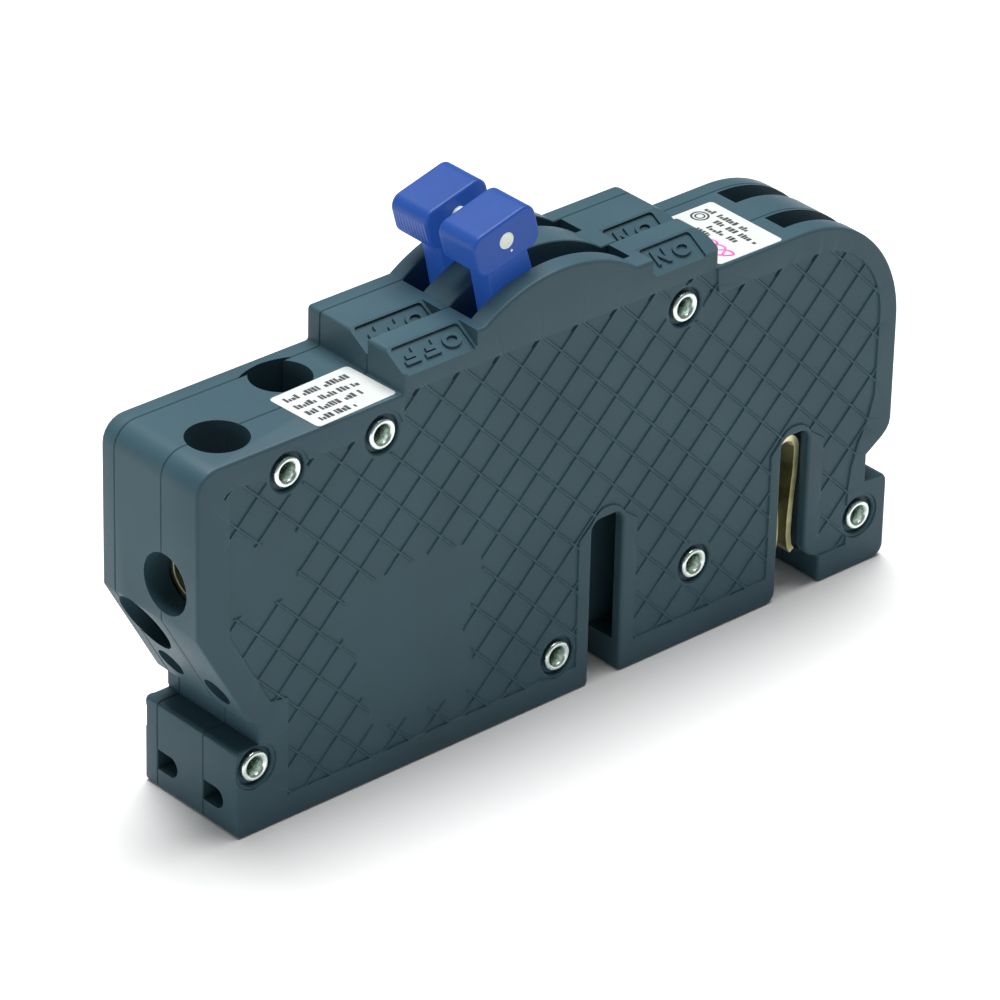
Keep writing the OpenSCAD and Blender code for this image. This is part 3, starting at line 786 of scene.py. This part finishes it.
def handle_piece(name, node, shift_y, knurl_d):
    """One pole's handle: head, stem with its disc, leg, trunnion and spring pin."""
    points, faces = [], []

    def moved(span):
        return span[0] + shift_y, span[1] + shift_y

    def knurl(profile, step, y):
        """Ridges on the lower part of the head's wire-end side."""
        low = np.clip((HEAD_BASE + KNURL_TOP - profile[:, 1]) / KNURL_FADE[1], 0, 1)
        low *= np.clip((HEAD_X[0] + KNURL_REACH - profile[:, 0]) / KNURL_FADE[0], 0, 1)
        wave = 0.5 - 0.5 * math.cos(2 * math.pi * (y - shift_y) / KNURL_PITCH)
        return step * (low * wave * knurl_d)[:, None]

    a, b, c, d = HEAD_CORNERS
    head = (arc((HEAD_X[0] + a, HEAD_BASE + a), a, 180, 270, 10)
            + arc((HEAD_X[1] - b, HEAD_BASE + b), b, 270, 360, 9)
            + arc((HEAD_X[1] - c, HEAD_TOP - c), c, 0, 90, 9)
            + arc((HEAD_X[0] + d, HEAD_TOP - d), d, 90, 180, 9))
    y0, y1 = moved(HEAD_Y)
    steps = int((y1 - y0 - 2 * HEAD_EDGE) / (KNURL_PITCH / 6))
    middle = np.linspace(y0 + HEAD_EDGE, y1 - HEAD_EDGE, steps + 1)[1:-1]
    rounded_slab(points, faces, head, (y0, y1), HEAD_EDGE, 5, middle, knurl)
    stem = ([(-4.5, 35.2), (-5.1, 22), (-5.1, 4.1)] + arc((0, 0), STEM_R, 141, 399, 30)
            + [(5.1, 4.1), (5.1, 22), (4.5, 35.2)])
    rounded_slab(points, faces, stem, moved(STEM_Y), 0.35)
    leg = arc(SPRING_PIN, 1.6, 180, 360, 12) + [(1.6, -2), (-1.6, -2)]
    rounded_slab(points, faces, leg, moved(LEG_Y), 0.3)
    rounded_slab(points, faces, ring((0, 0), 2.4), moved(TRUNNION_Y), 0.3)
    rounded_slab(points, faces, ring(SPRING_PIN, 0.8, 16), moved(SPRING_PIN_Y), 0.15)
    return new_piece(name, points, faces, "handle_plastic", "handles", node, angle=40)


def tie_pin():
    """The pin through both heads: a rim round a shallow dish at the near end, and beside it a small white
    dome that paints a highlight.
    """
    points, faces = [], []
    y0, y1 = HEAD_Y[0], TIE_PIN_FAR_Y
    rows = [(y0 - 0.02, 0.0), (y0 - 0.02, 0.8), (y0 - 0.05, 0.95), (y0 - 0.14, 1.1), (y0 - 0.16, 1.3),
            (y0 - 0.1, 1.48), (y0 + 0.02, TIE_PIN_R), (y1 - 0.1, TIE_PIN_R), (y1 - 0.03, 1.45),
            (y1 - 0.02, 0.0)]
    lathe(points, faces, TIE_PIN, rows, leant)
    new_piece("handle_tie_pin_round", points, faces, "pin_plastic", "handles", "handle_tie_pin")
    # A small white dome beside the pin, which paints a highlight on the head.
    points, faces = [], []
    lathe(points, faces, (TIE_PIN[0] + GLINT_DOT[0], TIE_PIN[1] + GLINT_DOT[1]),
          [(y0 - 0.1, 0.0), (y0 - 0.08, 0.15), (y0, 0.26), (y0 + 0.1, 0.28)], leant, 12)
    new_piece("handle_painted_glint", points, faces, "pin_plastic", "handles")


def lathe(points, faces, centre, rows, place=lambda x, z: (x, z), count=32):
    """Adds a surface of revolution about the Y direction, from rows of (y, radius)."""
    first = len(points)
    rings_at = []
    for y, radius in rows:
        if radius == 0:
            rings_at.append([len(points)])
            x, z = place(*centre)
            points.append((x, y, z))
        else:
            rings_at.append(list(range(len(points), len(points) + count)))
            for x, z in (place(*p) for p in ring(centre, radius, count)):
                points.append((x, y, z))
    for a, b in zip(rings_at, rings_at[1:]):
        for i in range(count):
            j = (i + 1) % count
            quad = (a[j % len(a)], b[j % len(b)], b[i % len(b)], a[i % len(a)])
            corner = tuple(dict.fromkeys(quad))
            if len(corner) > 2:
                faces.append(corner)
    return first


# ---------- rivets ----------

RIVET_SIDES = 36
# Half of a rivet's section, as (distance from the middle of the case, radius): the bore, the flared
# mouth, the rolled flange and the tube's outside.
RIVET_HALF = [(0.0, 1.25), (9.6, 1.25), (10.8, 1.42), (11.7, 1.62), (12.2, 1.8), (12.42, 1.92),
              (12.56, 2.1), (12.62, 2.34), (12.58, 2.56), (12.46, 2.74), (12.24, 2.85), (11.96, 2.83),
              (11.68, 2.66), (11.46, 2.3), (11.46, 1.7), (0.0, 1.7)]


def rivets():
    """Tubular rivets: a rolled bright flange, a flared mouth and the open tube."""
    points, faces = [], []
    section = [(-y, r) for y, r in RIVET_HALF] + RIVET_HALF[-2::-1]
    for centre in RIVETS:
        first = lathe(points, faces, centre, section, count=RIVET_SIDES)
        last = first + (len(section) - 1) * RIVET_SIDES
        for i in range(RIVET_SIDES):
            j = (i + 1) % RIVET_SIDES
            faces.append((last + j, first + j, first + i, last + i))
    new_piece("rivets_rolled", points, faces, "rivet_steel", "case", "tubular_rivets", angle=50)


# ---------- labels ----------

def sheet_outline(x0, y0, x1, y1, radius, turn):
    """A rounded rectangle turned about its first corner."""
    corners = [(x0 + radius, y0 + radius, 180), (x1 - radius, y0 + radius, 270),
               (x1 - radius, y1 - radius, 0), (x0 + radius, y1 - radius, 90)]
    loop = [p for x, y, start in corners for p in arc((x, y), radius, start, start + 90, 6)]
    return [turned_about(p, (x0, y0), turn) for p in loop]


def turned_about(p, pivot, turn):
    """A point turned about another by an angle in degrees."""
    c, s = math.cos(math.radians(turn)), math.sin(math.radians(turn))
    dx, dy = p[0] - pivot[0], p[1] - pivot[1]
    return pivot[0] + dx * c - dy * s, pivot[1] + dx * s + dy * c


def flat_piece(name, outlines, low, high, slot, node=None, material=None):
    """Thin prisms that lie flat, from XY outlines."""
    points, faces = [], []
    for outline in outlines:
        first, count = len(points), len(outline)
        points += [(x, y, low) for x, y in outline] + [(x, y, high) for x, y in outline]
        faces.append(tuple(range(first, first + count))[::-1])
        faces.append(tuple(range(first + count, first + 2 * count)))
        for i in range(count):
            j = (i + 1) % count
            faces.append((first + i, first + j, first + count + j, first + count + i))
    return new_piece(name, points, faces, slot, "case", node, material)


def dashes(rng, start, turn, length, height):
    """A row of short upright strokes in groups, which stands for a printed line."""
    along = np.array((math.cos(math.radians(turn)), math.sin(math.radians(turn))))
    across = np.array((-along[1], along[0]))
    found = []
    done = 0.0
    while done < length:
        for _ in range(rng.randint(3, 7)):
            width = rng.uniform(0.46, 0.78)
            tall = height * rng.choice((0.55, 0.8, 1.0, 1.0))
            if done + width > length:
                break
            a = np.array(start) + along * done
            b = a + along * width
            up = across * tall
            found.append([tuple(a), tuple(b), tuple(b + up), tuple(a + up)])
            done += width + rng.uniform(0.12, 0.2)
        done += rng.uniform(0.5, 0.9)
    return found


def ribbon(path, width):
    """The quadrangles that a pen of some width draws along a line of points."""
    path = np.array(path)
    ahead = np.gradient(path, axis=0)
    ahead /= np.linalg.norm(ahead, axis=1)[:, None]
    side = np.c_[-ahead[:, 1], ahead[:, 0]] * width / 2
    left, right = path + side, path - side
    return [[tuple(p) for p in (left[i + 1], right[i + 1], right[i], left[i])]
            for i in range(len(path) - 1)]


SHEET_THICK = 0.12
INK_THICK = 0.012
INK_SUNK = 0.01         # how far the ink reaches into the sheet
SPEC_BOX = (26.1, -12.5, 43.9, 0.05)
SPEC_TURN = 2.2         # the sticker lies a little askew, in degrees
SPEC_LINE_TURN = 0.7    # and so do its printed lines
SPEC_LINES = [(1.6, 9.5, 15.2), (1.4, 6.6, 14.4), (1.5, 3.9, 12.2), (1.9, 1.2, 8.4)]   # x, y, length
SPEC_LINE_H = 1.55
RATING_BOX = (117.3, -12.1, 132.5, 6.6)
RATING_TURN = -0.5
RATING_LINES = [(129.3, 4.9, 10.8), (127.2, 0.4, 11.4), (124.9, -0.3, 7.8), (122.7, 0.6, 4.4)]
RATING_LINE_H = 1.35
RING_CENTRE = (127.2, 3.6)
RINGS = [(1.55, 0.4), (0.85, 0.34)]     # radius and width
SCRIBBLE_START = (121.5, -4.4)
SCRIBBLE_LENGTH = 7.4
SCRIBBLE_W = 0.5


def labels():
    """The two stickers, with strokes, rings and a scribble in place of their print."""
    top = TOP_Z + SHEET_THICK
    rng = random.Random(4)

    def printed(name, outlines, material):
        flat_piece(name, outlines, top - INK_SUNK, top + INK_THICK, "label", None, material)

    x0, y0 = SPEC_BOX[:2]
    flat_piece("spec_sheet", [sheet_outline(*SPEC_BOX, 0.9, SPEC_TURN)], TOP_Z, top, "label", "spec_label")
    rows = []
    for x, y, length in SPEC_LINES:
        start = turned_about((x0 + x, y0 + y), (x0, y0), SPEC_TURN)
        rows += dashes(rng, start, SPEC_LINE_TURN, length, SPEC_LINE_H)
    printed("spec_marks", rows, "ink")

    flat_piece("rating_sheet", [sheet_outline(*RATING_BOX, 0.8, RATING_TURN)], TOP_Z, top, "label",
               "rating_label")
    rows = []
    for x, y, length in RATING_LINES:
        rows += dashes(rng, (x, y), -90, length, RATING_LINE_H)
    for radius, width in RINGS:
        loop = ring(RING_CENTRE, radius, 32)
        rows += ribbon(np.vstack([loop, loop[:1]]), width)
    printed("rating_marks", rows, "ink")
    x, y = SCRIBBLE_START
    scribble = [(x + 1.4 * math.sin(2.2 * t) - 0.1 * t, y - 0.85 * t + 0.7 * math.sin(4.4 * t))
                for t in np.linspace(0, SCRIBBLE_LENGTH, 110)]
    printed("rating_scribble", ribbon(scribble, SCRIBBLE_W), "pink_ink")


# ---------- springs and braids ----------

def swept(points, faces, path, radius, sides):
    """Adds a round wire along a path in millimetres, with closed ends."""
    path = [Vector(p) for p in path]
    first = len(points)
    normal = None
    for i, p in enumerate(path):
        ahead = (path[min(i + 1, len(path) - 1)] - path[max(i - 1, 0)]).normalized()
        if normal is None:
            normal = ahead.orthogonal().normalized()
        normal = (normal - ahead * normal.dot(ahead)).normalized()
        other = ahead.cross(normal)
        for k in range(sides):
            a = 2 * math.pi * k / sides
            points.append(tuple(p + (normal * math.cos(a) + other * math.sin(a)) * radius))
    for i in range(len(path) - 1):
        for k in range(sides):
            j = (k + 1) % sides
            a, b = first + i * sides, first + (i + 1) * sides
            faces.append((a + k, a + j, b + j, b + k))
    faces.append(tuple(range(first, first + sides))[::-1])
    last = first + (len(path) - 1) * sides
    faces.append(tuple(range(last, last + sides)))


SPRING_Y = -4.8                                     # the middle of the near spring
SPRING_ENDS = ((82.504, 26.368), (82.405, 47.327))  # the arm's and the handle's spring pins, as (x, z)
SPRING_TURNS = 26
TURN_POINTS = 14
COIL_R, HOOK_R, WIRE_R = 0.85, 0.95, 0.24
HOOK_L = 2.4                                        # from a pin to the first turn of the coil


def toggle_spring(side, shift_y):
    """A close-wound tension spring with a hook round the pin at each end."""
    low, high = (np.array(end) for end in SPRING_ENDS)
    length = np.linalg.norm(high - low)
    along = (high - low) / length
    across = np.array((along[1], -along[0]))
    path = []

    def put(distance, sideways, deep):
        x, z = low + along * distance + across * sideways
        path.append((x, SPRING_Y + shift_y + deep, z))

    def hook(pin, start, end):
        for a in np.radians(np.linspace(start, end, 12)):
            put(pin + HOOK_R * math.sin(a), HOOK_R * math.cos(a), 0)

    hook(0, -150, 60)
    for t in np.linspace(0, 1, SPRING_TURNS * TURN_POINTS + 1):
        angle = 2 * math.pi * SPRING_TURNS * t
        put(HOOK_L + (length - 2 * HOOK_L) * t, COIL_R * math.cos(angle), COIL_R * math.sin(angle))
    hook(length, -60, 150)
    points, faces = [], []
    swept(points, faces, path, WIRE_R, 7)
    new_piece(f"{side}_coil_spring", points, faces, "steel", f"{side}_arm", f"{side}_toggle_spring",
              angle=60)


# The flexible lead's route in the CAD, as (x, z), from the bimetal to the contact arm.
BRAID = [(45.4, 60.5), (46.4, 65), (49.5, 67.5), (54, 68), (59, 66.5), (63.5, 62), (67, 55), (70.5, 47.5),
         (75.5, 41.2)]
BRAID_Y = -7.3
BRAID_HALF_W = 0.9      # from the strap's middle to its outermost strand
BRAID_LIFT = 0.3        # how far the strands cross over and under each other
BRAID_RIPPLE = 0.1      # and how far they rise at each crossing
BRAID_POINTS = 170      # along each strand
SMOOTHINGS = 14         # rounds of smoothing, which turn the route's corners into curves
STRANDS = 7             # in each of the two directions
STRAND_R = 0.17
WEAVE_L = 5.2           # along the strap, one full crossing of a strand and back


def braid(side, shift_y):
    """A flat woven strap of copper strands along the route of the flexible lead."""
    y = BRAID_Y + shift_y
    route = np.array(BRAID)
    steps = np.r_[0, np.cumsum(np.linalg.norm(np.diff(route, axis=0), axis=1))]
    spots = np.linspace(0, steps[-1], BRAID_POINTS)
    fine = np.c_[np.interp(spots, steps, route[:, 0]), np.interp(spots, steps, route[:, 1])]
    for _ in range(SMOOTHINGS):
        fine[1:-1] = (fine[:-2] + 2 * fine[1:-1] + fine[2:]) / 4
    ahead = np.gradient(fine, axis=0)
    ahead /= np.linalg.norm(ahead, axis=1)[:, None]
    normal = np.c_[-ahead[:, 1], ahead[:, 0]]
    points, faces = [], []
    for way in (1, -1):
        for k in range(STRANDS):
            path = []
            for spot, p, n in zip(spots, fine, normal):
                phase = spot / WEAVE_L * 2 * math.pi * way + 2 * math.pi * k / STRANDS
                lift = BRAID_LIFT * math.sin(phase) + BRAID_RIPPLE * math.sin(phase * STRANDS)
                x, z = p + n * lift
                path.append((x, y + BRAID_HALF_W * math.cos(phase), z))
            swept(points, faces, path, STRAND_R, 5)
    piece = new_piece(f"{side}_woven_lead", points, faces, "copper", None, angle=60)
    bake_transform(piece)
    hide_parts(f"{side}_braid")


# ---------- CAD nodes shown as they are ----------

BEVEL_ANGLE = math.radians(38)      # the least angle between two faces for a bevel

# Each node with its slot and the width of the bevel on its edges.
PLAIN_NODES = {"common_trip_bar": ("black_plastic", 0.25)}
POLE_NODES = {
    "terminal_lug": ("lug_metal", 0.5), "terminal_screw": ("steel", 0.25), "load_strap": ("copper", 0.2),
    "bimetal": ("bimetal", 0.1), "magnet_yoke": ("steel", 0.2), "armature": ("steel", 0.15),
    "calibration_screw": ("clip_brass", 0.15), "contact_arm": ("copper", 0.25),
    "moving_contact": ("contact_silver", 0.2), "fixed_contact": ("contact_silver", 0.2),
    "line_clip": ("clip_brass", 0.12), "cradle": ("steel", 0.15), "arc_frame": ("fibre", 0.06),
    "arc_plates": ("steel", 0.15), "pivot_pins": ("steel", 0.3),
}
for side in ("near", "far"):
    for part, finish in POLE_NODES.items():
        PLAIN_NODES[f"{side}_{part}"] = finish


def finish_cad_node(node, slot, edge):
    """Gives a CAD node its material and softens its edges."""
    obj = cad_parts[node]
    dress(obj, slot)
    weld = obj.modifiers.new("weld", "WELD")
    weld.merge_threshold = WELD
    bevel = obj.modifiers.new("edges", "BEVEL")
    bevel.width = edge * MM
    bevel.segments = 2
    bevel.limit_method = "ANGLE"
    bevel.angle_limit = BEVEL_ANGLE


def add_floor(reach):
    """A plain pale floor that reaches this many metres each way."""
    mesh = bpy.data.meshes.new("floor")
    corners = [(-reach, -reach, 0), (reach, -reach, 0), (reach, reach, 0), (-reach, reach, 0)]
    mesh.from_pydata(corners, [], [(0, 1, 2, 3)])
    mesh.materials.append(surface("floor", srgb(240, 240, 240), srgb(244, 244, 244), (0.8, 0.9), patch=4,
                                  grain=300, depth=0.01))
    floor = bpy.data.objects.new("floor", mesh)
    bpy.context.collection.objects.link(floor)


# ---------- the scene ----------

add_camera(target=Vector((-0.002818, 0, 0.036052)), azimuth=-41.952, elevation=29.910, roll=1.417,
           distance=1.11185, lens=228.98)
add_world(0.235)
add_area_light("top_light", size=2.0, power=102, azimuth=150, elevation=77, distance=2.4)
add_area_light("side_light", size=0.9, power=5.2, azimuth=-98, elevation=6, distance=1.8)
bpy.context.scene.view_settings.view_transform = "Standard"

build_case()
rivets()
labels()
handle_piece("near_handle_moulding", "near_handle", 0, knurl_d=0.07)
handle_piece("far_handle_moulding", "far_handle", PITCH, knurl_d=0.17)
tie_pin()
for side, shift_y in (("near", 0), ("far", PITCH)):
    toggle_spring(side, shift_y)
    braid(side, shift_y)
for node, (slot, edge) in PLAIN_NODES.items():
    finish_cad_node(node, slot, edge)
add_floor(3)
